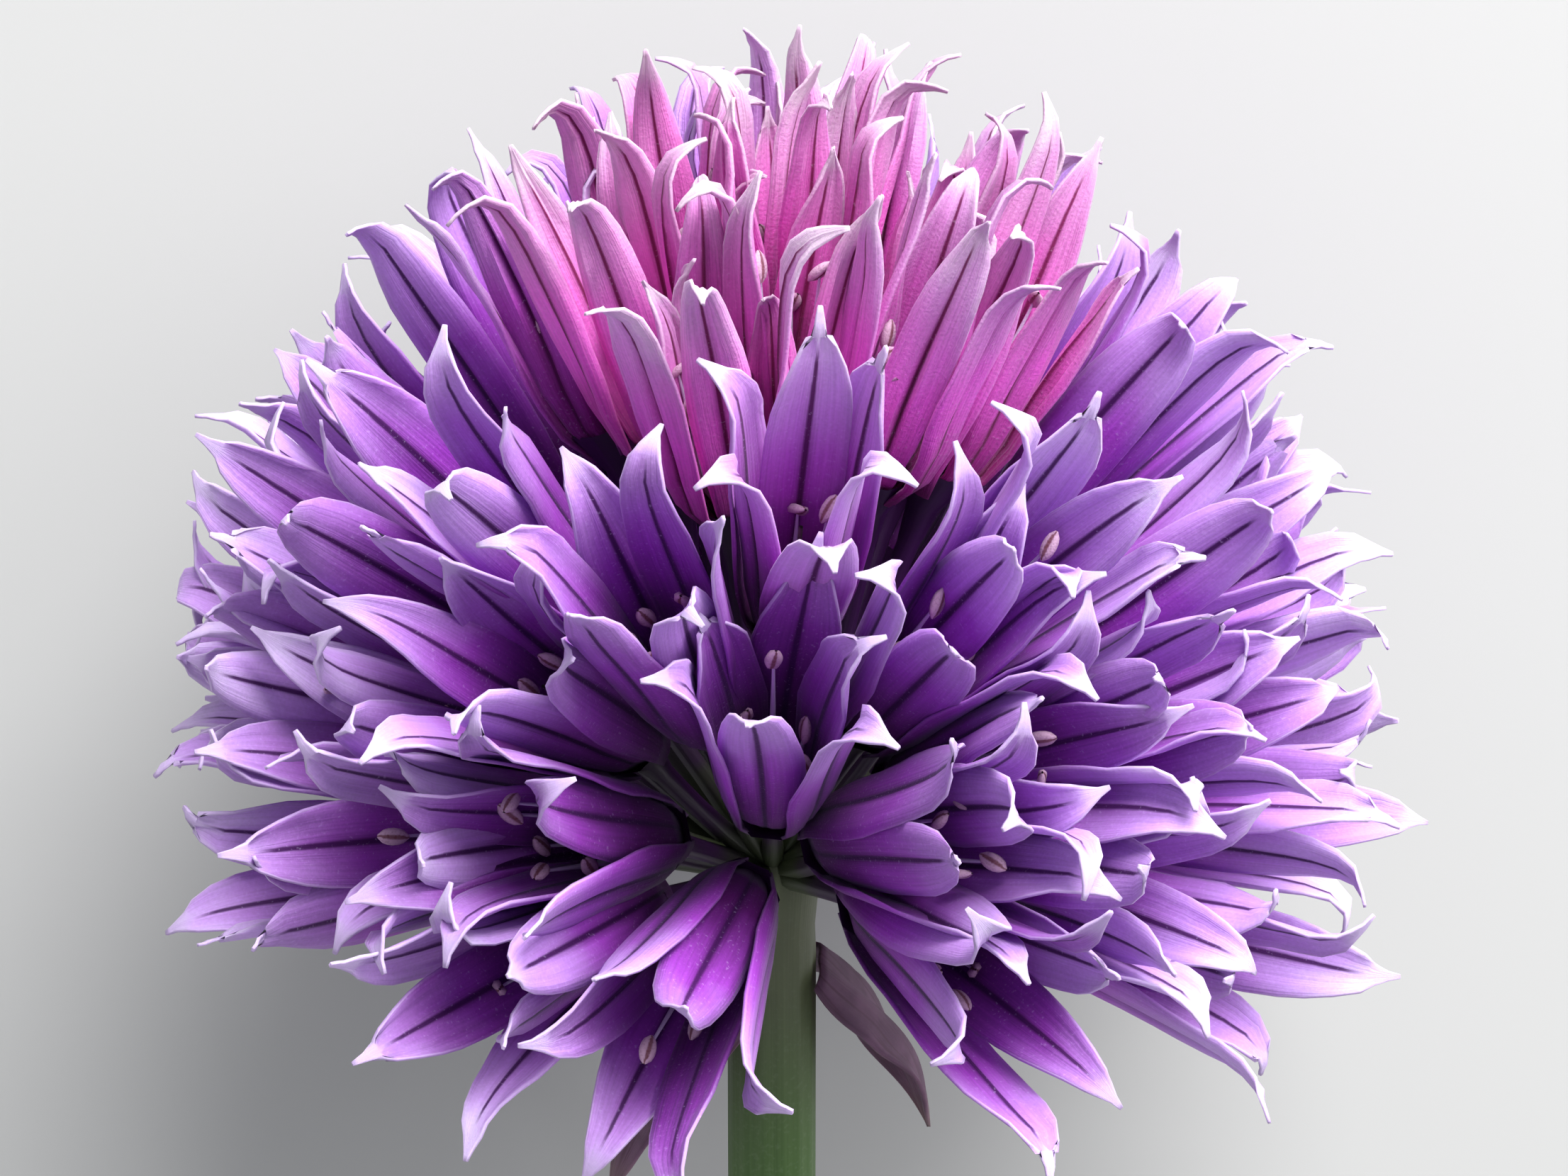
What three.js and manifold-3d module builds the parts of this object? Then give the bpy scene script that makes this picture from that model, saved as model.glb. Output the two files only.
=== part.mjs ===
// A picked chive flower, lying on a flat surface. Millimetres, +Z up, the surface at z = 0.
//
// A hollow green stem (the scape) rises gently from its cut end, which rests on the surface, to the
// umbel: a round head of bell-shaped florets that all spring from the stem's top. The younger florets
// are purple and stand in a spiral from the shoulder of the head to its widest ring. The oldest,
// faded to pink and half closed, stand in a tuft at its pole. Two papery bracts, which once wrapped
// the bud, hang below the head.
//
// X runs across the flower, Y along it towards the pole of the head, and the origin is at the bottom
// centre of the whole flower's box.

import * as THREE from "three";
import { mergeVertices } from "three/addons/utils/BufferGeometryUtils.js";
import Module from "manifold-3d";

const wasm = await Module();
wasm.setup();

// ---- Driving dimensions, in millimetres and degrees ----

const HEAD_HEIGHT = 16.5; // the umbel's centre above the surface
const CORE_RADIUS = 4.6; // the knot of stalks at the umbel's centre
const JOIN_GAP = 0.3; // between pieces that meet face to face
const SLIVER = 0.02; // edges shorter than this are closed up after a cut

const STEM = {
  reach: 80, // along Y, from the cut end to the umbel's centre
  radius: 1.4,
  boreRadius: 0.8,
  risePower: 1.4, // 1 is a straight stem, more bends it up towards the head
  sides: 12,
  steps: 13,
};

const GOLDEN_ANGLE = 137.508; // from each floret of the spiral to the next
const TEPALS = 6; // in each floret, three outer and three inner
const STALK_AT_RING = 8; // from the umbel's centre to a floret's base, at the head's widest ring
const STALK_AT_POLE = 14.6;
const STALK_RISE_POWER = 3; // how late the stalks lengthen on the way to the pole

// A polar angle is counted from the pole of the head.
const PURPLE = {
  seed: 126026,
  count: 54,
  firstPolar: 33,
  lastPolar: 90,
  firstAzimuth: 306,
  jitter: 4, // how far a floret strays from its place on the spiral
  tepalLength: 12.6,
  tepalWidth: 3,
  cupAngle: 26,
  flare: 6,
  flareSpread: 3,
  curl: 8,
  curlSpread: 24,
  bendSpread: 0.9,
};
const PINK = {
  seed: 4201,
  count: 14,
  firstPolar: 0,
  lastPolar: 24,
  firstAzimuth: 30,
  jitter: 2.2,
  tepalLength: 12.2,
  tepalWidth: 2.4,
  cupAngle: 36,
  flare: 4,
  flareSpread: 3,
  curl: 16,
  curlSpread: 40,
  bendSpread: 1.2,
};
// The middle of a gap on the head's front: florets near it lean away from it.
const PARTING = {
  polar: 72,
  azimuth: 90,
  lean: 24,
  reach: 26, // from it to where the lean has fallen to about a third
};
const LENGTH_JITTER = 0.07; // as a share of the length
const WHORL_GAP = 0.35; // the outer whorl stands this much outside the inner one
const WHORL_FLARE = 3; // and leans this much further out
const INNER_WIDTH = 0.92; // of the inner whorl's tepals, as a share of the outer one's
const ROOT_WIDTH = 0.4; // of a tepal at its base, as a share of its widest
const SHOULDER = 0.8; // 1 is a plain pointed tepal, less is a rounder one
const CUP_END = 0.26; // the share of a tepal's length where its base has straightened
const CURL_START = 0.68; // and the share where it starts to curl back
const CAP_HALF_ANGLE = 31; // of the cone that parts the pink tuft from the purple florets

const PATH_STEPS = 24; // along a tepal, when its curve is added up
const RIM_STEP = 11; // the path step where a floret's bell parts into blades
const BLADE_STEP = 18; // the path step where a free blade has a cross-section
const LAID_END_STEP = 22; // the last cross-section of a blade that lies along the surface
const BLADE_THICKNESS = 0.66;
const TEPAL_ROOT = 0.5; // from the floret's axis
const PRESSED = 0.24; // how far such a blade is flattened where it touches the surface
const STALK_RADIUS = 0.45;
const STALK_ROOT = 3.2; // from the umbel's centre
const BOWL_RADIUS = 1.15; // of the bell just above the floret's base
const BOWL_HEIGHT = 1.2;
const BOWL_FLOOR = 1.8;

const BRACT = {
  length: 8.5,
  width: 4.2,
  thickness: 0.66,
  below: 0.9, // its root, below the knot of stalks
  lean: 48, // away from the stem at its root
  droop: 40, // how much of that lean it loses on the way to its tip
  arch: 0.35, // the rise of its middle over its edges, as a share of its half width
  steps: 6,
  rootPhase: 0.25, // its width follows a sine wave from this share of a half turn to a whole one
  azimuths: { spathe_bract_left: 158, spathe_bract_right: 338 },
};

const radians = THREE.MathUtils.degToRad;

// ---- The head's own directions, from the stem's slope where it meets the head ----

const STEM_RISE = HEAD_HEIGHT - STEM.radius;
const TILT = Math.atan((STEM.risePower * STEM_RISE) / STEM.reach);
const CENTRE = new THREE.Vector3(0, 0, HEAD_HEIGHT);
const POLE = new THREE.Vector3(0, Math.cos(TILT), Math.sin(TILT));
const RIGHT = new THREE.Vector3(1, 0, 0);
const FRONT = new THREE.Vector3(0, -Math.sin(TILT), Math.cos(TILT)); // the side that faces up

function direction(polar, azimuth) {
  const out = new THREE.Vector3()
    .addScaledVector(RIGHT, Math.cos(radians(azimuth)))
    .addScaledVector(FRONT, Math.sin(radians(azimuth)));
  return out.multiplyScalar(Math.sin(radians(polar))).addScaledVector(POLE, Math.cos(radians(polar)));
}

// The axis of a floret at a place on the head.
function leanAway(place) {
  const parting = direction(PARTING.polar, PARTING.azimuth);
  const apart = THREE.MathUtils.radToDeg(place.angleTo(parting));
  const lean = PARTING.lean * Math.exp(-((apart / PARTING.reach) ** 2));
  const hinge = new THREE.Vector3().crossVectors(parting, place).normalize();
  return place.clone().applyAxisAngle(hinge, radians(lean));
}

// Repeatable draws from -1 to 1.
function seededDraw(seed) {
  const modulus = 2147483647;
  let state = seed;
  return () => {
    state = (state * 16807) % modulus;
    return (2 * state) / modulus - 1;
  };
}

function smoothstep(from, to, x) {
  const share = Math.min(1, Math.max(0, (x - from) / (to - from)));
  return share * share * (3 - 2 * share);
}

// ---- Closed meshes and solids ----

// A closed mesh that is put together ring by ring. Seen from outside, each ring runs anticlockwise
// round the way the shell grows.
class Shell {
  points = [];
  faces = [];

  point(at) {
    return this.points.push(at) - 1;
  }

  triangle(a, b, c) {
    this.faces.push(a, b, c);
  }

  // Quads between two rings. Neighbours are split mirror-wise, so a blade's two faces fold alike.
  band(lower, upper) {
    lower.forEach((a, i) => {
      const next = (i + 1) % lower.length;
      const [b, c, d] = [lower[next], upper[next], upper[i]];
      if (i % 2 === 0) this.faces.push(a, b, c, a, c, d);
      else this.faces.push(a, b, d, b, c, d);
    });
  }

  tip(ring, end) {
    ring.forEach((a, i) => this.triangle(a, ring[(i + 1) % ring.length], end));
  }

  root(ring) {
    for (let i = 1; i < ring.length - 1; i++) this.triangle(ring[0], ring[i + 1], ring[i]);
  }

  geometry() {
    const geometry = new THREE.BufferGeometry().setFromPoints(this.points);
    geometry.setIndex(this.faces);
    return geometry;
  }
}

function solidOf(geometry) {
  const bare = geometry.clone();
  bare.deleteAttribute("normal");
  bare.deleteAttribute("uv");
  const merged = mergeVertices(bare, 1e-4);
  return new wasm.Manifold(
    new wasm.Mesh({
      numProp: 3,
      vertProperties: merged.getAttribute("position").array,
      triVerts: new Uint32Array(merged.index.array),
    }),
  );
}

function geometryOf(solid) {
  const mesh = solid.getMesh();
  const geometry = new THREE.BufferGeometry();
  geometry.setAttribute("position", new THREE.BufferAttribute(mesh.vertProperties, 3));
  geometry.setIndex(new THREE.BufferAttribute(mesh.triVerts, 1));
  return geometry;
}

// The largest body of a solid, without the scraps and slivers that a cut leaves.
function largestBody(solid) {
  const bodies = solid.simplify(SLIVER).decompose();
  return bodies.reduce((best, body) => (body.volume() > best.volume() ? body : best));
}

// ---- Tepals ----

// The tepal's centre line, step by step from its base: where it is, with its sideways and inward
// directions. It swells out of the base, stands nearly along the floret's axis and curls back at the
// tip. Where it would sink into the surface, it bends and lies along it instead.
function tepalPath(floret, tepal) {
  const outward = new THREE.Vector3()
    .addScaledVector(floret.across, Math.cos(tepal.azimuth))
    .addScaledVector(floret.over, Math.sin(tepal.azimuth));
  const aside = new THREE.Vector3().crossVectors(floret.axis, outward);
  const lowest = BLADE_THICKNESS / 2 - PRESSED;
  const length = tepal.length / PATH_STEPS;
  const middle = floret.base.clone().addScaledVector(outward, TEPAL_ROOT + tepal.stand);
  const path = [];
  for (let i = 0; i <= PATH_STEPS; i++) {
    const along = i / PATH_STEPS;
    const cup = (tepal.cupAngle - tepal.flare) * (1 - smoothstep(0, CUP_END, along));
    const lean = radians(tepal.flare + cup + tepal.curl * smoothstep(CURL_START, 1, along));
    const heading = new THREE.Vector3()
      .addScaledVector(floret.axis, Math.cos(lean))
      .addScaledVector(outward, Math.sin(lean))
      .addScaledVector(aside, (2 * tepal.bend * along) / tepal.length)
      .normalize();
    const laid = middle.z + length * heading.z < lowest;
    if (laid) {
      heading.z = 0;
      heading.normalize();
      heading.z = (lowest - middle.z) / length;
    }
    const sideways = aside.clone().addScaledVector(heading, -aside.dot(heading)).normalize();
    const inward = new THREE.Vector3().crossVectors(heading, sideways).normalize();
    const out = middle.clone().sub(floret.base).dot(outward);
    path.push({ middle: middle.clone(), out, sideways, inward, laid });
    middle.addScaledVector(heading.normalize(), length);
  }
  return path;
}

// Half the tepal's width: narrow at the base, widest halfway, drawn out to a fine point.
function halfWidth(tepal, along) {
  const half = tepal.width / 2;
  if (along < 0.5) return half * (ROOT_WIDTH + (1 - ROOT_WIDTH) * Math.sin(Math.PI * along));
  return half * Math.cos(Math.PI * (along - 0.5)) ** SHOULDER;
}

// A blade's cross-section: one edge, the inner face's middle, the other edge, the outer face's middle.
function bladeSection({ middle, sideways, inward }, half, hollow, thickness) {
  return [
    middle.clone().addScaledVector(sideways, half).addScaledVector(inward, hollow),
    middle.clone().addScaledVector(inward, thickness / 2),
    middle.clone().addScaledVector(sideways, -half).addScaledVector(inward, hollow),
    middle.clone().addScaledVector(inward, -thickness / 2),
  ];
}

function tepalSection(tepal, step) {
  const half = halfWidth(tepal, step / PATH_STEPS);
  const hollow = tepal.path[step].laid ? 0 : half ** 2 / (2 * tepal.path[step].out);
  return bladeSection(tepal.path[step], half, hollow, BLADE_THICKNESS);
}

// ---- Florets ----

// The places, directions and tepals of the florets of one kind, on a spiral over their band.
function layFlorets(kind) {
  const draw = seededDraw(kind.seed);
  const florets = [];
  const top = Math.cos(radians(kind.firstPolar));
  const bottom = Math.cos(radians(kind.lastPolar));
  for (let i = 0; i < kind.count; i++) {
    const level = top + ((i + 0.5) / kind.count) * (bottom - top);
    const polar = THREE.MathUtils.radToDeg(Math.acos(level)) + kind.jitter * draw();
    const azimuth = kind.firstAzimuth + i * GOLDEN_ANGLE + kind.jitter * draw();
    const place = direction(polar, azimuth);
    const axis = leanAway(place);
    const across = new THREE.Vector3().crossVectors(POLE, axis).normalize();
    const over = new THREE.Vector3().crossVectors(axis, across);
    const rise = Math.max(0, level) ** STALK_RISE_POWER;
    const stalk = STALK_AT_RING + (STALK_AT_POLE - STALK_AT_RING) * rise;
    const turn = Math.PI * draw();
    const tepals = [];
    for (let k = 0; k < TEPALS; k++) {
      const outer = k % 2 === 0;
      tepals.push({
        azimuth: turn + (2 * Math.PI * k) / TEPALS,
        stand: outer ? WHORL_GAP : 0,
        width: kind.tepalWidth * (outer ? 1 : INNER_WIDTH),
        cupAngle: kind.cupAngle,
        length: kind.tepalLength * (1 + LENGTH_JITTER * draw()),
        flare: kind.flare + (outer ? WHORL_FLARE : 0) + kind.flareSpread * draw(),
        curl: kind.curl + kind.curlSpread * draw(),
        bend: kind.bendSpread * draw(),
      });
    }
    florets.push({ axis, across, over, stalk, tepals, base: CENTRE.clone().addScaledVector(place, stalk) });
  }
  return florets;
}

// The path steps where a blade has a cross-section: a laid one has one where it meets the surface.
function bladeSteps(tepal) {
  const contact = tepal.path.findIndex(({ laid }) => laid);
  if (contact < 0 || contact >= LAID_END_STEP) return [BLADE_STEP];
  return [contact + 1, LAID_END_STEP];
}

// One floret: a stalk that swells into a bell, whose rim parts into six pointed blades.
function floretSolid(floret) {
  const shell = new Shell();
  const { axis, across, over, base } = floret;
  const tepals = floret.tepals.map((tepal) => ({ ...tepal, path: tepalPath(floret, tepal) }));
  const ring = (radius, along) =>
    tepals.map(({ azimuth }) => {
      const at = base.clone().addScaledVector(axis, along);
      at.addScaledVector(across, radius * Math.cos(azimuth));
      return shell.point(at.addScaledVector(over, radius * Math.sin(azimuth)));
    });
  const foot = ring(STALK_RADIUS, STALK_ROOT - floret.stalk);
  const bowl = ring(BOWL_RADIUS, BOWL_HEIGHT);
  const floor = shell.point(base.clone().addScaledVector(axis, BOWL_FLOOR));
  const rims = tepals.map((tepal) => tepalSection(tepal, RIM_STEP));
  const innerMiddle = rims.map((rim) => shell.point(rim[1]));
  const outerMiddle = rims.map((rim) => shell.point(rim[3]));
  // Where each tepal parts from the next one round the bell, midway between their edges.
  const parting = rims.map((rim, k) => {
    const nextEdge = rims[(k + 1) % TEPALS][2];
    return shell.point(rim[0].clone().lerp(nextEdge, 0.5));
  });
  shell.root(foot);
  shell.band(foot, bowl);
  tepals.forEach((tepal, k) => {
    const before = (k + TEPALS - 1) % TEPALS;
    shell.triangle(bowl[k], bowl[(k + 1) % TEPALS], parting[k]);
    shell.triangle(bowl[k], parting[k], outerMiddle[k]);
    shell.triangle(bowl[k], outerMiddle[k], parting[before]);
    shell.triangle(floor, parting[before], innerMiddle[k]);
    shell.triangle(floor, innerMiddle[k], parting[k]);
    let ring = [parting[k], innerMiddle[k], parting[before], outerMiddle[k]];
    for (const step of bladeSteps(tepal)) {
      const above = tepalSection(tepal, step).map((at) => shell.point(at));
      shell.band(ring, above);
      ring = above;
    }
    shell.tip(ring, shell.point(tepal.path[PATH_STEPS].middle));
  });
  return solidOf(shell.geometry());
}

// The florets of one kind, joined where their stalks meet in the knot at the umbel's centre.
function joinedFlorets(kind) {
  const knot = new THREE.IcosahedronGeometry(CORE_RADIUS, 1).translate(...CENTRE);
  return wasm.Manifold.union([solidOf(knot), ...layFlorets(kind).map(floretSolid)]);
}

// The cone round the pole that holds the pink tuft, with its apex lowered so that it is wider by a gap.
function capCone(gap) {
  const height = 40;
  const sides = 28;
  const angle = radians(CAP_HALF_ANGLE);
  const cone = new THREE.ConeGeometry(height * Math.tan(angle), height, sides);
  cone.rotateX(Math.PI);
  cone.translate(0, height / 2 - gap / Math.sin(angle), 0);
  cone.applyQuaternion(new THREE.Quaternion().setFromUnitVectors(new THREE.Vector3(0, 1, 0), POLE));
  return solidOf(cone.translate(...CENTRE));
}

function aboveSurface() {
  const size = 100;
  return solidOf(new THREE.BoxGeometry(size, size, size).translate(0, 0, size / 2));
}

function purpleFlorets() {
  const besideCap = joinedFlorets(PURPLE).subtract(capCone(JOIN_GAP));
  return geometryOf(largestBody(besideCap.intersect(aboveSurface())));
}

function pinkFlorets() {
  return geometryOf(largestBody(joinedFlorets(PINK).intersect(capCone(0))));
}

// ---- Stem ----

class StemCurve extends THREE.Curve {
  getPoint(share) {
    const along = share * (1 - (CORE_RADIUS + JOIN_GAP) / STEM.reach);
    const height = STEM.radius + STEM_RISE * along ** STEM.risePower;
    return new THREE.Vector3(0, STEM.reach * (along - 1), height);
  }
}

function stem() {
  const ring = new THREE.Shape().absarc(0, 0, STEM.radius, 0, 2 * Math.PI);
  ring.holes.push(new THREE.Path().absarc(0, 0, STEM.boreRadius, 0, 2 * Math.PI, true));
  return new THREE.ExtrudeGeometry(ring, {
    curveSegments: STEM.sides / 2,
    steps: STEM.steps,
    extrudePath: new StemCurve(),
  });
}

// ---- Bracts ----

// A papery blade that springs from beside the stem's top, leans away from it and droops.
function bract(azimuth) {
  const shell = new Shell();
  const out = direction(90, azimuth);
  const sideways = new THREE.Vector3().crossVectors(out, POLE);
  const middle = CENTRE.clone()
    .addScaledVector(POLE, -(CORE_RADIUS + BRACT.below))
    .addScaledVector(out, STEM.radius + JOIN_GAP + BRACT.thickness / 2);
  const step = BRACT.length / BRACT.steps;
  let ring = null;
  for (let i = 0; i <= BRACT.steps; i++) {
    const along = i / BRACT.steps;
    const lean = radians(BRACT.lean - BRACT.droop * along);
    const inward = new THREE.Vector3()
      .addScaledVector(out, -Math.cos(lean))
      .addScaledVector(POLE, -Math.sin(lean));
    if (i === BRACT.steps) {
      shell.tip(ring, shell.point(middle.clone()));
      break;
    }
    const phase = BRACT.rootPhase + (1 - BRACT.rootPhase) * along;
    const half = (BRACT.width / 2) * Math.sin(Math.PI * phase);
    const section = bladeSection({ middle, sideways, inward }, half, half * BRACT.arch, BRACT.thickness);
    const above = section.map((at) => shell.point(at));
    if (ring) shell.band(ring, above);
    else shell.root(above);
    ring = above;
    middle.addScaledVector(out, step * Math.sin(lean)).addScaledVector(POLE, -step * Math.cos(lean));
  }
  return shell.geometry();
}

// ---- The whole flower ----

function finish(color, roughness) {
  return new THREE.MeshStandardMaterial({ color, roughness, metalness: 0, side: THREE.FrontSide });
}

const flower = new THREE.Group();

function addPiece(name, geometry, material) {
  const mesh = new THREE.Mesh(geometry, material);
  mesh.name = name;
  flower.add(mesh);
}

addPiece("stem", stem(), finish(0x5f8a3f, 0.5));
addPiece("purple_florets", purpleFlorets(), finish(0x7a4fa3, 0.6));
addPiece("pink_florets", pinkFlorets(), finish(0xc45fa0, 0.65));
const papery = finish(0x8b5f86, 0.75);
for (const [name, azimuth] of Object.entries(BRACT.azimuths)) addPiece(name, bract(azimuth), papery);

// The origin goes to the bottom centre of the flower's box, on the surface.
const middle = new THREE.Box3().setFromObject(flower).getCenter(new THREE.Vector3());
flower.position.set(-middle.x, -middle.y, 0);

export default flower;
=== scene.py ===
"""Dresses a picked chive flower, lying on a pale floor, with its tepals, stamens, stalks and stem."""

import math

import bmesh
import bpy
import numpy as np
from bpy.props import FloatProperty, FloatVectorProperty, IntProperty, PointerProperty
from mathutils import Matrix, Vector


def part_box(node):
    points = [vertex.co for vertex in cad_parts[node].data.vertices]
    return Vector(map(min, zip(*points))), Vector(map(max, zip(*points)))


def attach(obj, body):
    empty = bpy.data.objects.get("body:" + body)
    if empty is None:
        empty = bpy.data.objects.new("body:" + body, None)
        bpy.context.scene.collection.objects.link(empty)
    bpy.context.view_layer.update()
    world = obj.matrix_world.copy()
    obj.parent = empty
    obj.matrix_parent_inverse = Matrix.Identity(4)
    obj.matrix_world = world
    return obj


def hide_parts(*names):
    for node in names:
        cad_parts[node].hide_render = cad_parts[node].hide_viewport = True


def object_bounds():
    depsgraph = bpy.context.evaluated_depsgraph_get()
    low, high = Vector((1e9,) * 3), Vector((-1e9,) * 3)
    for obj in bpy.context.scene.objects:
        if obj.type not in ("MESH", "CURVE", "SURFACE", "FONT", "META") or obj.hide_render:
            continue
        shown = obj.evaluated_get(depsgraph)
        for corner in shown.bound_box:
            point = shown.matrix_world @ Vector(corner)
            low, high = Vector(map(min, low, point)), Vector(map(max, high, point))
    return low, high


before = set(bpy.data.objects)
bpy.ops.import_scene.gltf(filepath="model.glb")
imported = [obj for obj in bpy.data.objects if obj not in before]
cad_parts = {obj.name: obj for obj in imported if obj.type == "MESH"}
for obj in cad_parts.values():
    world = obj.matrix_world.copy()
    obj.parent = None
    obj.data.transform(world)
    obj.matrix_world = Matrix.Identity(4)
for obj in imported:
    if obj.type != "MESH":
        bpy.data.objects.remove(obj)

bl_info = {
    "name": "Chive flower",
    "version": (1, 0, 0),
    "blender": (4, 5, 0),
    "location": "View3D > Sidebar > Chive flower",
    "description": "Builds a picked chive flower round its solids",
    "category": "Add Mesh",
}

CAD_BOX = [list(corner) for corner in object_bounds()]
MM = 0.001
BODY = "root"
GOLDEN_ANGLE = math.radians(137.508)  # from each floret of the spiral to the next
TEPALS = 6  # in each floret, three outer and three inner


# ---- Sizes and colours that a user would change ----


def length(name, description, millimetres):
    return FloatProperty(
        name=name, description=description, default=millimetres * MM, unit="LENGTH", subtype="DISTANCE"
    )


def angle(name, description, degrees):
    return FloatProperty(
        name=name, description=description, default=math.radians(degrees), unit="ROTATION", subtype="ANGLE"
    )


def share(name, description, default):
    return FloatProperty(name=name, description=description, default=default, subtype="FACTOR")


def count(name, description, default):
    return IntProperty(name=name, description=description, default=default, min=1)


def colour(name, description, red, green, blue):
    return FloatVectorProperty(
        name=name,
        description=description,
        default=(red, green, blue),
        size=3,
        min=0,
        max=1,
        subtype="COLOR",
    )


class HeadSizes(bpy.types.PropertyGroup):
    """Where the umbel stands, and how its stalks lengthen towards its pole."""

    height: length("Height", "The umbel's centre above the floor", 16.5)
    stalk_at_ring: length("Stalk at ring", "From the centre to a floret's base at the widest ring", 8)
    stalk_at_pole: length("Stalk at pole", "From the centre to a floret's base at the pole", 14.6)
    stalk_rise_power: FloatProperty(
        name="Stalk rise", description="How late the stalks lengthen on the way to the pole", default=3
    )
    length_jitter: share("Length jitter", "How far a tepal's length strays, as a share of it", 0.07)
    parting_polar: angle("Parting polar", "From the pole to a gap on the head's front", 72)
    parting_azimuth: angle("Parting azimuth", "The gap's turn round the pole", 90)
    parting_lean: angle("Parting lean", "How far florets beside the gap lean away from it", 24)
    parting_reach: angle("Parting reach", "From it to where the lean is down to a third", 26)
    whorl_gap: length("Whorl gap", "How far the outer whorl stands outside the inner one", 0.35)
    whorl_flare: angle("Whorl flare", "How much further out the outer whorl leans", 3)
    inner_width: share("Inner width", "The inner tepals' width, as a share of the outer ones'", 0.92)


# Each size of a kind of floret: its property, label and description, and its defaults, which are
# first those of the younger, purple florets, then those of the oldest, pink ones.
FLORET_SIZES = {
    "count": (count, "Florets", "How many florets of this kind", 54, 14),
    "seed": (count, "Seed", "Seed of the draws that lay the florets out", 126026, 4201),
    "first_polar": (angle, "First polar", "Where the band starts, from the pole", 33, 0),
    "last_polar": (angle, "Last polar", "Where the band ends, from the pole", 90, 24),
    "first_azimuth": (angle, "First azimuth", "The first floret's turn", 306, 30),
    "jitter": (angle, "Jitter", "How far a floret strays from its place on the spiral", 4, 2.2),
    "tepal_length": (length, "Tepal length", "From base to tip along the curve", 12.6, 12.2),
    "tepal_width": (length, "Tepal width", "At its widest", 3, 2.4),
    "cup": (angle, "Cup", "A tepal's lean at its base", 26, 36),
    "flare": (angle, "Flare", "A tepal's lean halfway", 6, 4),
    "flare_spread": (angle, "Flare spread", "How far the flare strays", 3, 3),
    "curl": (angle, "Curl", "How much further the tip leans", 8, 16),
    "curl_spread": (angle, "Curl spread", "How far the curl strays", 24, 40),
    "bend_spread": (length, "Bend spread", "How far a tip strays sideways", 0.9, 1.2),
    "beak": (angle, "Beak", "How far the fine point hooks back", 45, 25),
    "beak_spread": (angle, "Beak spread", "How far the hook strays", 45, 70),
    "twist_spread": (angle, "Twist spread", "How far a blade twists", 14, 60),
    "wrinkle": (length, "Wrinkle", "How deep the lengthwise wrinkles of the blade are", 0.02, 0.14),
    "roundness": (share, "Roundness", "How round and notched the tips are", 0.55, 0.1),
    "shrink": (share, "Shrink", "How much smaller the most withered tepals are", 0.06, 0.35),
    "stamen": (length, "Stamen", "From a stamen's root to its anther", 7.4, 6.2),
}


def floret_group(name, doc, kind):
    """The group of sizes for one kind of floret, which is 0 or 1 as its place in the table's defaults."""
    fields = {
        field: prop(label, description, defaults[kind])
        for field, (prop, label, description, *defaults) in FLORET_SIZES.items()
    }
    return type(name, (bpy.types.PropertyGroup,), {"__doc__": doc, "__annotations__": fields})


PurpleFlorets = floret_group(
    "PurpleFlorets", "The younger florets, from the shoulder of the head to its widest ring.", 0
)
PinkFlorets = floret_group(
    "PinkFlorets", "The oldest florets, faded and half closed, in a tuft at the pole.", 1
)


class BladeSizes(bpy.types.PropertyGroup):
    """The thin parts of a floret."""

    thickness: length("Thickness", "Of a tepal", 0.1)
    narrowing: share("Narrowing", "A thin tepal's width, as a share of the solid one's", 0.92)
    crease: length("Crease", "How deep the midrib lies in the outer face", 0.3)
    lobe: length("Lobe", "How far round shoulders swell past the notch between them", 0.38)
    filament: length("Filament", "Radius of a filament at its root", 0.16)
    anther: length("Anther", "Length of an anther", 1.0)
    ovary: length("Ovary", "Radius of the ovary", 0.8)
    stalk: length("Stalk", "Radius of a floret's stalk", 0.44)


class StemSizes(bpy.types.PropertyGroup):
    """The scape, from its cut end to the umbel."""

    reach: length("Reach", "Along Y, from the cut end to the umbel's centre", 80)
    radius: length("Radius", "Of the stem", 1.4)
    bore: length("Bore", "Radius of the stem's hollow", 0.8)
    rise_power: FloatProperty(
        name="Rise", description="1 is a straight stem, more bends it up towards the head", default=1.4
    )
    swell: length("Swell", "How much thicker the stem's top is", 0.55)


class BractSizes(bpy.types.PropertyGroup):
    """The two papery bracts below the head."""

    span: length("Length", "From root to tip along the curve", 8.5)
    width: length("Width", "At its widest", 4.2)
    below: length("Below", "Its root, below the knot of stalks", 0.9)
    lean: angle("Lean", "Away from the stem at its root", 48)
    droop: angle("Droop", "How much of that lean it loses on the way to its tip", 40)


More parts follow.
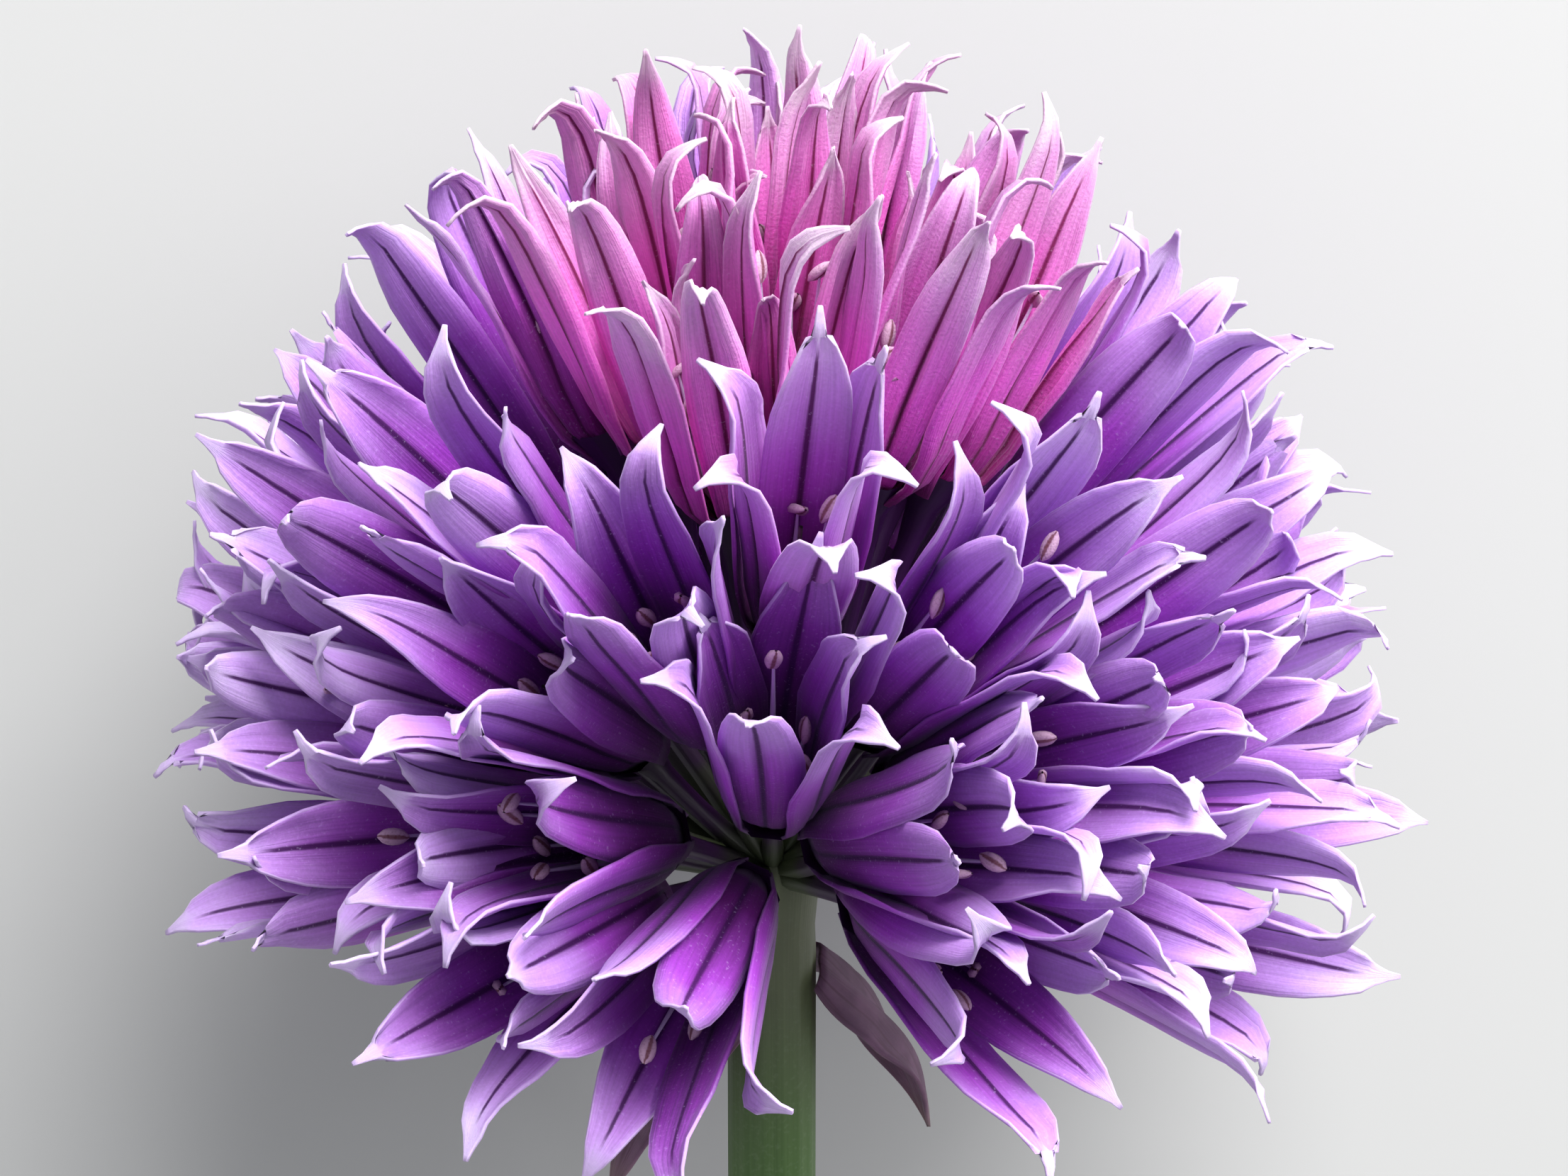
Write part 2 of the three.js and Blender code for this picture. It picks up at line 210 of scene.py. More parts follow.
class FlowerColours(bpy.types.PropertyGroup):
    """The flower's colours, in linear light."""

    purple_base: colour("Purple base", "At a young tepal's base", 0.12, 0.006, 0.16)
    purple_middle: colour("Purple middle", "Halfway along it", 0.33, 0.05, 0.48)
    purple_end: colour("Purple end", "Near its tip", 0.49, 0.3, 0.67)
    # Also the colour of the painted shade in the crease beside the midrib, and at the stalks' floret ends.
    purple_rib_and_shade: colour("Purple rib", "Its midrib", 0.04, 0.002, 0.065)
    purple_tip: colour("Purple tip", "Its beak and rim", 0.54, 0.42, 0.68)
    pink_base: colour("Pink base", "At an old tepal's base", 0.4, 0.022, 0.22)
    pink_middle: colour("Pink middle", "Halfway along it", 0.83, 0.15, 0.61)
    pink_end: colour("Pink end", "Near its tip", 0.58, 0.28, 0.52)
    # Also the colour of the painted shade in the crease beside the midrib.
    pink_rib_and_shade: colour("Pink rib", "Its midrib", 0.16, 0.006, 0.06)
    pink_tip: colour("Pink tip", "Its withered beak and rim", 0.6, 0.44, 0.56)
    filament: colour("Filament", "The filaments and styles", 0.6, 0.5, 0.7)
    anther: colour("Anther", "The groove along an anther", 0.16, 0.05, 0.07)
    dust: colour("Dust", "The dusty lobes of the anthers", 0.52, 0.33, 0.46)
    ovary: colour("Ovary", "The ovaries", 0.1, 0.06, 0.08)
    # Near-black instead of the stalks' own light green: painted shade inside the head. The filament roots
    # and the ovaries' mottle take this colour too.
    stalk: colour("Stalk", "The florets' stalks", 0.035, 0.045, 0.02)
    # The stem's own green, darkened in part as painted shade from the head above it.
    stem: colour("Stem", "The stem", 0.045, 0.11, 0.015)
    pith: colour("Pith", "The stem's cut face", 0.6, 0.68, 0.36)
    bract: colour("Bract", "The bracts", 0.09, 0.035, 0.08)
    floor: colour("Floor", "The floor", 0.44, 0.44, 0.43)


class StageSizes(bpy.types.PropertyGroup):
    """Where the camera stands, and the picture's frame."""

    tilt: angle("Tilt", "The camera's height above the head's widest ring", 22)
    distance: length("Distance", "From the umbel's centre to the camera", 180)
    frame_width: length("Frame width", "What the picture takes in at the umbel's centre", 50.2)
    aim_up: length("Aim up", "The picture's middle, above the umbel's centre", 7.5)
    aim_right: length("Aim right", "The picture's middle, to the right of the umbel's centre", 0.4)


GROUPS = {
    "chive_head": HeadSizes,
    "chive_purple": PurpleFlorets,
    "chive_pink": PinkFlorets,
    "chive_blade": BladeSizes,
    "chive_stem": StemSizes,
    "chive_bract": BractSizes,
    "chive_colours": FlowerColours,
    "chive_stage": StageSizes,
}


# ---- Shader maths ----


class Value:
    """A socket of a shader node, on which maths can be written as on a number."""

    def __init__(self, shader, socket):
        self.shader = shader
        self.socket = socket

    def _math(self, operation, *terms):
        return self.shader.add("ShaderNodeMath", {"operation": operation}, dict(enumerate(terms)))

    def __add__(self, other):
        return self._math("ADD", self, other)

    def __sub__(self, other):
        return self._math("SUBTRACT", self, other)

    def __rsub__(self, other):
        return self._math("SUBTRACT", other, self)

    def __mul__(self, other):
        return self._math("MULTIPLY", self, other)

    def __pow__(self, other):
        return self._math("POWER", self, other)

    def __abs__(self):
        return self._math("ABSOLUTE", self)

    __radd__ = __add__
    __rmul__ = __mul__

    def rises(self, start, end):
        """0 before start, 1 past end, and a smooth step between."""
        settings = {"interpolation_type": "SMOOTHSTEP"}
        return self.shader.add(
            "ShaderNodeMapRange", settings, {"Value": self, "From Min": start, "From Max": end}
        )

    def falls(self, start, end):
        return 1 - self.rises(start, end)


class Shader:
    """A material whose nodes are added one by one, from the first pattern to the surface."""

    def __init__(self, name):
        self.material = bpy.data.materials.new(name)
        self.material.use_nodes = True
        self.tree = self.material.node_tree
        self.tree.nodes.clear()

    def add(self, kind, settings=None, sockets=None, output=0):
        """Adds a node, sets its settings, then its sockets' values or links, and returns an output."""
        node = self.tree.nodes.new(kind)
        for name, value in (settings or {}).items():
            if name == "stops":
                self._set_stops(node.color_ramp, value)
            else:
                setattr(node, name, value)
        for name, value in (sockets or {}).items():
            socket = node.inputs[name]
            if isinstance(value, Value):
                self.tree.links.new(value.socket, socket)
            elif socket.type == "RGBA" and len(value) == 3:
                socket.default_value = (*value, 1)
            else:
                socket.default_value = value
        return Value(self, node.outputs[output]) if node.outputs else None

    @staticmethod
    def _set_stops(ramp, stops):
        while len(ramp.elements) < len(stops):
            ramp.elements.new(1)
        for element, (position, tint) in zip(ramp.elements, stops):
            element.position = position
            element.color = (*tint, 1)

    def ramp(self, factor, stops):
        return self.add("ShaderNodeValToRGB", {"stops": stops}, {"Fac": factor})

    def mix(self, factor, first, second, blend="MIX"):
        """Two colours, mixed. The sockets that the colours use come after those for numbers."""
        settings = {"data_type": "RGBA", "blend_type": blend}
        return self.add("ShaderNodeMix", settings, {0: factor, 6: first, 7: second}, output=2)

    def dim(self, tint, light):
        """A colour times a value."""
        return self.mix(1.0, tint, self.combine(light, light, light), "MULTIPLY")

    def noise(self, vector, scale, detail=2):
        return self.add("ShaderNodeTexNoise", None, {"Vector": vector, "Scale": scale, "Detail": detail})

    def split_uv(self):
        """How far along the piece's own map, and how far across it."""
        uv = self.add("ShaderNodeTexCoord", output="UV")
        along = self.add("ShaderNodeSeparateXYZ", None, {0: uv})
        across = Value(self, along.socket.node.outputs[1])
        return along, across

    def combine(self, x, y, z=0):
        return self.add("ShaderNodeCombineXYZ", None, {0: x, 1: y, 2: z})

    def attribute(self, name):
        return self.add("ShaderNodeAttribute", {"attribute_name": name}, output="Fac")

    def grain(self, scale, detail=2):
        """A noise on the piece's own place, for what doesn't follow its map."""
        return self.noise(self.add("ShaderNodeTexCoord", output="Object"), scale, detail)

    def surface(self, sockets, height=None, bump=0.3, distance=0.05 * MM):
        """The last nodes: a bump from a height, and the surface itself."""
        if height is not None:
            sockets["Normal"] = self.add(
                "ShaderNodeBump", None, {"Strength": bump, "Distance": distance, "Height": height}
            )
        surface = self.add("ShaderNodeBsdfPrincipled", None, sockets)
        self.add("ShaderNodeOutputMaterial", None, {"Surface": surface})
        return self.material


# ---- Materials ----

# Tints that they mix in, in linear light.
SHEEN = (0.8, 0.72, 1, 1)
STEM_LINES = (0.08, 0.16, 0.035)
STEM_PATCHES = (0.05, 0.11, 0.02)
STEM_BLOOM = (0.5, 0.6, 0.45)
# Painted shade: the darker, browner top of the stem under the head.
STEM_TOP_SHADE = (0.1, 0.09, 0.06)
BRACT_PATCHES = (0.17, 0.08, 0.15)
BRACT_VEINS = (0.07, 0.02, 0.05)
BRACT_TIP = (0.2, 0.13, 0.12)
FLOOR_GRAIN = (0.5, 0.5, 0.5)


def tepal_material(name, tints, streaks, sheen, pleats):
    """A petal: deep at its base, pale towards its tip, with a dark rib, a thin pale rim and fine streaks.

    Its florets' age turns it from purple to pink.
    """
    shader = Shader(name)
    rows, across = shader.split_uv()
    along = 1 - (1 - rows) ** CROWDING
    side = abs(across * 2 - 1)
    # The tone attribute: a random tone for each tepal, lowered beside the parting as painted shade; it
    # shifts the colour ramp and dims the colour.
    tone = shader.attribute("tone")
    age = shader.attribute("age")
    streak = shader.noise(shader.combine(along * 3, across * 34, tone * 9), 1, detail=3)
    patch = shader.noise(shader.combine(along * 5, across * 2, tone * 7), 1)
    grain = shader.grain(9000)
    place = along + (patch - 0.5) * 0.3 + tone * 0.2 + side * 0.05
    shares = (0.1, 0.5, 0.9, 1.0)
    young = (tints.purple_base, tints.purple_middle, tints.purple_end, tints.purple_tip)
    old = (tints.pink_base, tints.pink_middle, tints.pink_end, tints.pink_tip)
    ramps = [shader.ramp(place, list(zip(shares, tones))) for tones in (young, old)]
    tint = shader.mix(age, *ramps)
    tint = shader.dim(tint, 1 + (streak - 0.5) * streaks + (grain - 0.5) * 0.3 + tone * 0.22)
    rib_and_shade = shader.mix(age, tints.purple_rib_and_shade, tints.pink_rib_and_shade)
    # Painted shade in the crease on either side of the midrib, over the lower part of the blade; the
    # midrib's own dark line follows.
    crease_shade = side.falls(0.0, 0.38) * along.rises(0.0, 0.2) * along.falls(0.55, 0.9) * 0.55
    line = side.falls(0.04, 0.15) * along.rises(0.02, 0.12) * along.falls(0.84, 0.91) * 0.95
    tint = shader.mix(crease_shade, tint, rib_and_shade)
    tint = shader.mix(line, tint, rib_and_shade)
    pale = shader.mix(age, tints.purple_tip, tints.pink_tip)
    rim = side.rises(0.94, 1.0) * (along.rises(0.6, 0.88) * 0.5 + 0.06)
    beak = along.rises(0.86, 0.98) * 0.85
    tint = shader.mix(grain.rises(0.62, 0.74) * 0.25, tint, pale)
    tint = shader.mix(rim, tint, pale)
    tint = shader.mix(beak, tint, pale)
    sockets = {
        "Base Color": tint,
        "Roughness": 0.58 + (grain - 0.5) * 0.3,
        "Specular IOR Level": 0.22,
        "Subsurface Weight": 0.2,
        "Subsurface Radius": (1.0, 0.5, 1.2),
        "Subsurface Scale": 0.3 * MM,
        "Sheen Weight": sheen,
        "Sheen Roughness": 0.4,
        "Sheen Tint": SHEEN,
    }
    return shader.surface(sockets, streak * 0.7 + grain * 0.3, 0.45, pleats)


def stamen_material(tints):
    """Pale filaments, and pale dusty anthers with a dark groove; the map's length parts them."""
    shader = Shader("stamen")
    along, across = shader.split_uv()
    grain = shader.grain(14000)
    # The filaments' roots take the stalks' near-black colour: painted shade deep in the floret.
    filament = shader.mix(along.rises(0.0, 0.2), tints.stalk, tints.filament)
    groove = abs(abs(across * 2 - 1) - 0.5).falls(0.04, 0.14) * 0.9
    anther = shader.mix(groove + grain.falls(0.3, 0.5) * 0.3, tints.dust, tints.anther)
    tint = shader.mix((along - 0.5).rises(0.0, 0.001), filament, anther)
    sockets = {"Base Color": tint, "Roughness": 0.6, "Specular IOR Level": 0.3}
    return shader.surface(sockets, grain, 0.5, 0.04 * MM)


def ovary_material(tints):
    shader = Shader("ovary")
    grain = shader.grain(5000, detail=3)
    tint = shader.mix(grain.rises(0.35, 0.7), tints.ovary, tints.stalk)
    return shader.surface({"Base Color": tint, "Roughness": 0.4}, grain, 0.3, 0.06 * MM)


def stalk_material(tints):
    """A floret's stalk: green at its root, flushed purple below the floret, with fine ridges."""
    shader = Shader("floret stalk")
    along, across = shader.split_uv()
    ridge = shader.noise(shader.combine(along * 3, across * 16), 1)
    patch = shader.grain(700)
    # Dark purple towards the floret: partly the stalk's own flush, partly painted shade inside the head.
    flush_and_shade = (along + (patch - 0.5) * 0.3).rises(0.2, 0.6) * 0.9
    tint = shader.mix(flush_and_shade, tints.stalk, tints.purple_rib_and_shade)
    tint = shader.dim(tint, 0.85 + ridge * 0.3)
    return shader.surface({"Base Color": tint, "Roughness": 0.45}, ridge, 0.4, 0.05 * MM)


def stem_material(tints):
    """The scape: waxy green with fine lengthwise lines, paler and moist where it is cut."""
    shader = Shader("green stem")
    along, across = shader.split_uv()
    line = shader.noise(shader.combine(along * 5, across * 90), 1, detail=3)
    patch = shader.grain(260, detail=3)
    bloom = shader.grain(6000)
    tint = shader.mix(line.rises(0.3, 0.75) * 0.6, tints.stem, STEM_LINES)
    tint = shader.mix(patch.rises(0.45, 0.8) * 0.4, tint, STEM_PATCHES)
    tint = shader.mix(bloom.rises(0.5, 0.75) * 0.06, tint, STEM_BLOOM)
    # Darker and browner towards the top: painted shade under the head.
    flush_and_shade = along.rises(0.86, 0.97) * 0.7
    tint = shader.mix(flush_and_shade, tint, STEM_TOP_SHADE)
    cut = shader.attribute("cut")
    tint = shader.mix(cut, tint, tints.pith)
    sockets = {
        "Base Color": tint,
        "Roughness": 0.4 + patch * 0.2 - cut * 0.15,
        "Subsurface Weight": 0.12,
        "Subsurface Radius": (0.6, 1.0, 0.3),
        "Subsurface Scale": 0.5 * MM,
    }
    return shader.surface(sockets, line * 0.8 + bloom * 0.2, 0.35, 0.06 * MM)


def bract_material(tints):
    """Dry paper: purple brown, with dark veins along it and pale thin patches."""
    shader = Shader("papery bract")
    along, across = shader.split_uv()
    vein = shader.noise(shader.combine(along * 2, across * 26), 1)
    patch = shader.grain(900, detail=4)
    tint = shader.mix(patch.rises(0.35, 0.7) * 0.7, tints.bract, BRACT_PATCHES)
    tint = shader.mix(vein.falls(0.35, 0.5) * 0.7, tint, BRACT_VEINS)
    tint = shader.mix(along.rises(0.8, 1.0) * 0.6, tint, BRACT_TIP)
    sockets = {
        "Base Color": tint,
        "Roughness": 0.6,
        "Subsurface Weight": 0.4,
        "Subsurface Radius": (1.0, 0.7, 0.8),
        "Subsurface Scale": 0.4 * MM,
    }
    return shader.surface(sockets, vein * 0.6 + patch * 0.4, 0.6, 0.12 * MM)


def floor_material(tints):
    shader = Shader("floor")
    grain = shader.grain(90, detail=3)
    tint = shader.mix(grain * 0.06, tints.floor, FLOOR_GRAIN)
    return shader.surface({"Base Color": tint, "Roughness": 0.85, "Specular IOR Level": 0.1})


# ---- The head's own directions ----


def smoothstep(start, end, value):
    part = np.clip((value - start) / (end - start), 0, 1)
    return part * part * (3 - 2 * part)


def unit(vector):
    return vector / np.linalg.norm(vector)


def seeded_draw(seed):
    """Repeatable draws from -1 to 1."""
    modulus = 2147483647
    state = seed
    while True:
        state = state * 16807 % modulus
        yield 2 * state / modulus - 1


class Head:
    """The umbel's centre and directions, from the stem's box and its slope where it meets the head."""

    def __init__(self, scene):
        sizes, stem = scene.chive_head, scene.chive_stem
        low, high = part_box("stem")
        rise = sizes.height - stem.radius
        tilt = math.atan(stem.rise_power * rise / stem.reach)
        self.sizes = sizes
        self.tilt = tilt
        self.centre = np.array([(low[0] + high[0]) / 2, low[1] + stem.reach, sizes.height])
        self.right = np.array([1.0, 0.0, 0.0])
        self.pole = np.array([0.0, math.cos(tilt), math.sin(tilt)])
        self.front = np.array([0.0, -math.sin(tilt), math.cos(tilt)])

    def direction(self, polar, azimuth):
        out = self.right * math.cos(azimuth) + self.front * math.sin(azimuth)
        return out * math.sin(polar) + self.pole * math.cos(polar)

    def lean_away(self, place):
        """The axis of a floret at a place on the head, and how near the gap it is, from 0 to 1."""
        sizes = self.sizes
        parting = self.direction(sizes.parting_polar, sizes.parting_azimuth)
        apart = math.acos(float(np.dot(parting, place)))
        lean = sizes.parting_lean * math.exp(-((apart / sizes.parting_reach) ** 2))
        away = place * math.cos(apart) - parting
        axis = place * math.cos(lean) + unit(away) * math.sin(lean)
        return axis, lean / sizes.parting_lean


class Floret:
    """One floret's place, its directions and the numbers that shape its six tepals."""

    def __init__(self, head, kind, index, draw):
        sizes = head.sizes
        top, bottom = math.cos(kind.first_polar), math.cos(kind.last_polar)
        level = top + (index + 0.5) / kind.count * (bottom - top)
        polar = math.acos(level) + kind.jitter * next(draw)
        azimuth = kind.first_azimuth + index * GOLDEN_ANGLE + kind.jitter * next(draw)
        place = head.direction(polar, azimuth)
        self.axis, self.inside = head.lean_away(place)
        self.across = unit(np.cross(head.pole, self.axis))
        self.over = np.cross(self.axis, self.across)
        rise = max(0.0, level) ** sizes.stalk_rise_power
        stalk = sizes.stalk_at_ring + (sizes.stalk_at_pole - sizes.stalk_at_ring) * rise
        self.base = head.centre + place * stalk
        turn = math.pi * next(draw)
        self.tepals = []
        for position in range(TEPALS):
            outer = position % 2 == 0
            self.tepals.append(
                {
                    "outer": outer,
                    "azimuth": turn + 2 * math.pi * position / TEPALS,
                    "stand": sizes.whorl_gap * outer,
                    "width": kind.tepal_width * (1 if outer else sizes.inner_width),
                    "length": kind.tepal_length * (1 + sizes.length_jitter * next(draw)),
                    "flare": kind.flare + sizes.whorl_flare * outer + kind.flare_spread * next(draw),
                    "curl": kind.curl + kind.curl_spread * next(draw),
                    "bend": kind.bend_spread * next(draw),
                }
            )

    def outward(self, azimuth):
        return self.across * math.cos(azimuth) + self.over * math.sin(azimuth)


OLDEST = (math.radians(5), math.radians(80))  # polar angle and azimuth of the middle of the pink tuft
AGES = (math.radians(15), math.radians(30))  # from there to the last pink floret, and to the first purple
AGE_SPREAD = math.radians(4)
LOBE_SPREAD = 0.35  # how far roundness strays, by chance and with the curl
TONE_SPREAD = 0.6
PARTING_SHADE = 0.8  # painted shade: how much darker the tepals beside the parting are painted, for the shade of the gap


def lay_florets(scene, kind):
    """The florets of one kind, on a spiral over their band of the head."""
    head = Head(scene)
    oldest = head.direction(*OLDEST)
    draw = seeded_draw(kind.seed)
    florets = [Floret(head, kind, index, draw) for index in range(kind.count)]
    detail = seeded_draw(kind.seed + 1)
    for floret in florets:
        away = math.acos(min(1.0, float(np.dot(floret.axis, oldest)))) + AGE_SPREAD * next(detail)
        floret.age = float(1 - smoothstep(*AGES, away))
        for tepal in floret.tepals:
            tepal["beak"] = kind.beak + kind.beak_spread * next(detail)
            tepal["twist"] = kind.twist_spread * next(detail)
            curled = (tepal["curl"] - kind.curl) / kind.curl_spread
            lobes = kind.roundness + LOBE_SPREAD * (next(detail) - curled)
            tepal["lobes"] = float(np.clip(lobes, 0, 1))
            # A tepal's tone strays at random, and is lowered beside the parting as painted shade of the gap
            # there.
            tepal["tone"] = TONE_SPREAD * next(detail) - PARTING_SHADE * floret.inside
            tepal["phase"] = math.pi * next(detail)
            left = 1 - kind.shrink * next(detail) ** 2
            tepal["length"] *= left
            tepal["width"] *= left
    return florets


# ---- Meshes ----

PATH_STEPS = 60  # along a tepal, when its curve is added up
ROWS = 14  # of faces along a tepal
CROWDING = 1.8  # 1 is evenly spaced rows, more brings them closer together towards the tip
ROW_STEPS = {round(PATH_STEPS * (1 - (1 - row / ROWS) ** CROWDING)) for row in range(ROWS + 1)}
EDGES = np.array([-1, -0.7, -0.25, 0, 0.25, 0.7, 1])  # across it, as shares of its half width
TEPAL_ROOT = 0.5 * MM  # from the floret's axis
LEAST_ROUND = 1.7 * MM  # the smallest radius of the bell that a blade's hollow follows
LAID_HEIGHT = 0.09 * MM  # of a tepal's middle, where it lies along the floor
# Shares of a tepal's length.
CUP_END = 0.26
CURL_START = 0.68
HOOK = (0.82, 0.98)  # where the tip starts and ends to hook back
BLADE_END = 0.9  # where the shoulders end
BEAK_START = 0.93  # where the beak is free
# Shares of a tepal's half width.
BASE_WIDTH = 0.4
BEAK_END_WIDTH = 0.05
BEAK_ROOT_WIDTH = 0.3
CREASE_REACH = 0.28
HOOD = 0.35  # how far the edges bend in below the tip
# Depths.
WAVE = 0.05 * MM  # of the blade's edge
NOTCH = 0.12 * MM  # of the beak's root, behind round shoulders


def tepal_path(floret, kind, tepal):
    """Rows of a tepal's centre line: its middles, headings and sideways and inward directions."""
    outward = floret.outward(tepal["azimuth"])
    aside = np.cross(floret.axis, outward)
    step = tepal["length"] / PATH_STEPS
    middle = floret.base + outward * (TEPAL_ROOT + tepal["stand"])
    rows = []
    for index in range(PATH_STEPS + 1):
        along = index / PATH_STEPS
        cup = (kind.cup - tepal["flare"]) * (1 - smoothstep(0, CUP_END, along))
        lean = tepal["flare"] + cup + tepal["curl"] * smoothstep(CURL_START, 1, along)
        lean += tepal["beak"] * smoothstep(*HOOK, along)
        heading = floret.axis * math.cos(lean) + outward * math.sin(lean)
        heading = unit(heading + aside * (2 * tepal["bend"] * along / tepal["length"]))
        laid = middle[2] + step * heading[2] < LAID_HEIGHT
        if laid:
            heading[2] = 0
            heading = unit(heading)
            heading[2] = (LAID_HEIGHT - middle[2]) / step
            heading = unit(heading)
        sideways = unit(aside - heading * np.dot(aside, heading))
        inward = np.cross(heading, sideways)
        turn = tepal["twist"] * along**2
        turned = sideways * math.cos(turn) + inward * math.sin(turn)
        inward = inward * math.cos(turn) - sideways * math.sin(turn)
        out = max(np.dot(middle - floret.base, outward), LEAST_ROUND)
        if index in ROW_STEPS:
            rows.append((along, middle, heading, turned, inward, out, laid))
        middle = middle + heading * step
    return rows


def half_width(tepal, blade, along):
    """Narrow at the base, then nearly even, ending in a long point, or in round shoulders and a beak."""
    half = tepal["width"] / 2 * blade.narrowing
    lobes = tepal["lobes"]
    rise = BASE_WIDTH + (1 - BASE_WIDTH) * math.sin(math.pi * min(along, 0.5))
    past = max(0.0, (along - 0.5) / (0.5 - 0.06 * lobes))
    ending = max(0.0, 1 - past ** (1.6 + 2.4 * lobes)) ** (0.9 - 0.1 * lobes)
    beak = min(BEAK_ROOT_WIDTH, BEAK_END_WIDTH + 2 * (1 - along))
    return half * max(rise * ending, beak)


def tepal_points(floret, kind, tepal, blade):
    """The points of one blade: a row for each step of its path, from one edge to the other."""
    away = np.abs(EDGES)
    lobe = blade.lobe * tepal["lobes"]
    phase = tepal["phase"]
    points = []
    for along, middle, heading, sideways, inward, out, laid in tepal_path(floret, kind, tepal):
        half = half_width(tepal, blade, along)
        body = half / (tepal["width"] / 2)
        swell = math.sin(math.pi * min(1.0, along * 1.05)) ** 0.5 if along < 0.95 else 0.2
        hood = smoothstep(CURL_START, BLADE_END, along) if along < BEAK_START else 0
        depth = blade.crease * swell * body * np.exp(-((EDGES / CREASE_REACH) ** 2))
        if not laid:
            depth += (half**2 / (2 * out) + HOOD * half * hood) * away**2
        depth += kind.wrinkle * np.sin(EDGES * 9 + phase * 3 + along * 4) * body
        depth += WAVE * away**4 * math.sin(along * 17 + phase) * body
        ahead = lobe * hood * np.sin(np.pi * away) ** 0.8
        if along > BEAK_START:
            # A free beak stands behind the notch between the shoulders.
            ahead = ahead - 0.4 * lobe
            depth += NOTCH * tepal["lobes"] * (1 - smoothstep(0.95, 0.99, along))
        row = middle + np.outer(EDGES * half, sideways) + np.outer(depth, inward)
        points.append(row + np.outer(ahead, heading))
    points = np.array(points)
    points[..., 2] = np.maximum(points[..., 2], LAID_HEIGHT)
    return points


def add_sheet(mesh, points, layers=None):
    """A grid of the points' own count, moved onto them, with its map along and across.

    A layer's value is one number, or an array with one for each row.
    """
    rows, columns = points.shape[:2]
    made = bmesh.ops.create_grid(mesh, x_segments=rows - 1, y_segments=columns - 1, size=0.5, calc_uvs=True)
    values = {layer: np.broadcast_to(value, rows) for layer, value in (layers or {}).items()}
    for vert in made["verts"]:
        row = round((vert.co.x + 0.5) * (rows - 1))
        column = round((vert.co.y + 0.5) * (columns - 1))
        vert.co = points[row, column]
        for layer, value in values.items():
            vert[layer] = float(value[row])
    return made["verts"]


def tube_points(path, radii, sides):
    """The points of a tube round a path, from an array of middles and one of radii."""
    headings = np.gradient(path, axis=0)
    headings /= np.linalg.norm(headings, axis=1)[:, None]
    first = np.cross(headings[0], [0.31, 0.17, 0.93])
    angles = np.linspace(0, 2 * math.pi, sides + 1)
    points = []
    for middle, heading, radius in zip(path, headings, radii):
        first = unit(first - heading * np.dot(first, heading))
        second = np.cross(heading, first)
        ring = np.outer(np.cos(angles), first) + np.outer(np.sin(angles), second)
        points.append(middle + ring * np.reshape(radius, (-1, 1)))
    return np.array(points)


FOLD = math.radians(75)  # edges that turn more than this stay sharp


def new_mesh():
    mesh = bmesh.new()
    mesh.loops.layers.uv.new("UVMap")
    return mesh


def close_seams(mesh):
    bmesh.ops.remove_doubles(mesh, verts=mesh.verts, dist=0.002 * MM)
    bmesh.ops.dissolve_degenerate(mesh, edges=mesh.edges, dist=0.001 * MM)


def add_object(name, data):
    made = bpy.data.objects.new(name, data)
    bpy.context.collection.objects.link(made)
    return made


def add_piece(name, mesh, material, nodes=()):
    """Makes a mesh an object that rides on the flower's body and stands for its nodes."""
    bmesh.ops.recalc_face_normals(mesh, faces=mesh.faces)
    data = bpy.data.meshes.new(name)
    mesh.to_mesh(data)
    mesh.free()
    data.materials.append(material)
    data.shade_smooth()
    data.set_sharp_from_angle(angle=FOLD)
    piece = add_object(name, data)
    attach(piece, BODY)
    if nodes:
        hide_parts(*nodes)
    return piece


def add_thickness(piece, thickness):
    wall = piece.modifiers.new("thickness", "SOLIDIFY")
    wall.thickness = thickness
    wall.offset = 0


def build_tepals(scene, name, hue, material, whorls):
    """One piece with the tepals of one hue's florets, from the outer whorls, the inner ones or both."""
    mesh = new_mesh()
    # Each tepal's tone, lowered beside the parting as painted shade, and its floret's age.
    mesh.verts.layers.float.new("tone")
    mesh.verts.layers.float.new("age")
    tone, age = mesh.verts.layers.float.values()
    kind = getattr(scene, "chive_" + hue)
    for floret in lay_florets(scene, kind):
        for tepal in floret.tepals:
            if tepal["outer"] in whorls:
                points = tepal_points(floret, kind, tepal, scene.chive_blade)
                add_sheet(mesh, points, {tone: tepal["tone"], age: floret.age})
    piece = add_piece(name, mesh, material, [hue + "_florets"])
    add_thickness(piece, scene.chive_blade.thickness)


class CHIVE_OT_purple_tepals(bpy.types.Operator):
    """Adds the purple florets' tepals, the outer whorls in one piece and the inner ones in another"""

    bl_idname = "chive.purple_tepals"
    bl_label = "Purple tepals"

    def execute(self, context):
        scene = context.scene
        material = tepal_material("purple tepal", scene.chive_colours, 0.5, 0.12, 0.08 * MM)
        build_tepals(scene, "purple_tepals_outer", "purple", material, [True])
        build_tepals(scene, "purple_tepals_inner", "purple", material, [False])
        return {"FINISHED"}


class CHIVE_OT_pink_tepals(bpy.types.Operator):
    """Adds the pink florets' tepals"""

    bl_idname = "chive.pink_tepals"
    bl_label = "Pink tepals"

    def execute(self, context):
        scene = context.scene
        material = tepal_material("pink tepal", scene.chive_colours, 0.7, 0.1, 0.2 * MM)
        build_tepals(scene, "pink_tepals", "pink", material, [True, False])
        return {"FINISHED"}


# ---- Stamens, ovaries and stalks ----

FILAMENT_STEPS = 6
FILAMENT_SIDES = 5
FILAMENT_ROOT = 1.2 * MM  # above the floret's base
ANTHER_STEPS = 6
ANTHER_SIDES = 8


def set_map(mesh, verts, start, end):
    """Squeezes the map's length of a sheet into the part from start to end."""
    layer = mesh.loops.layers.uv.active
    for vert in verts:
        for loop in vert.link_loops:
            along, across = loop[layer].uv
            loop[layer].uv = (start + along * (end - start), across)


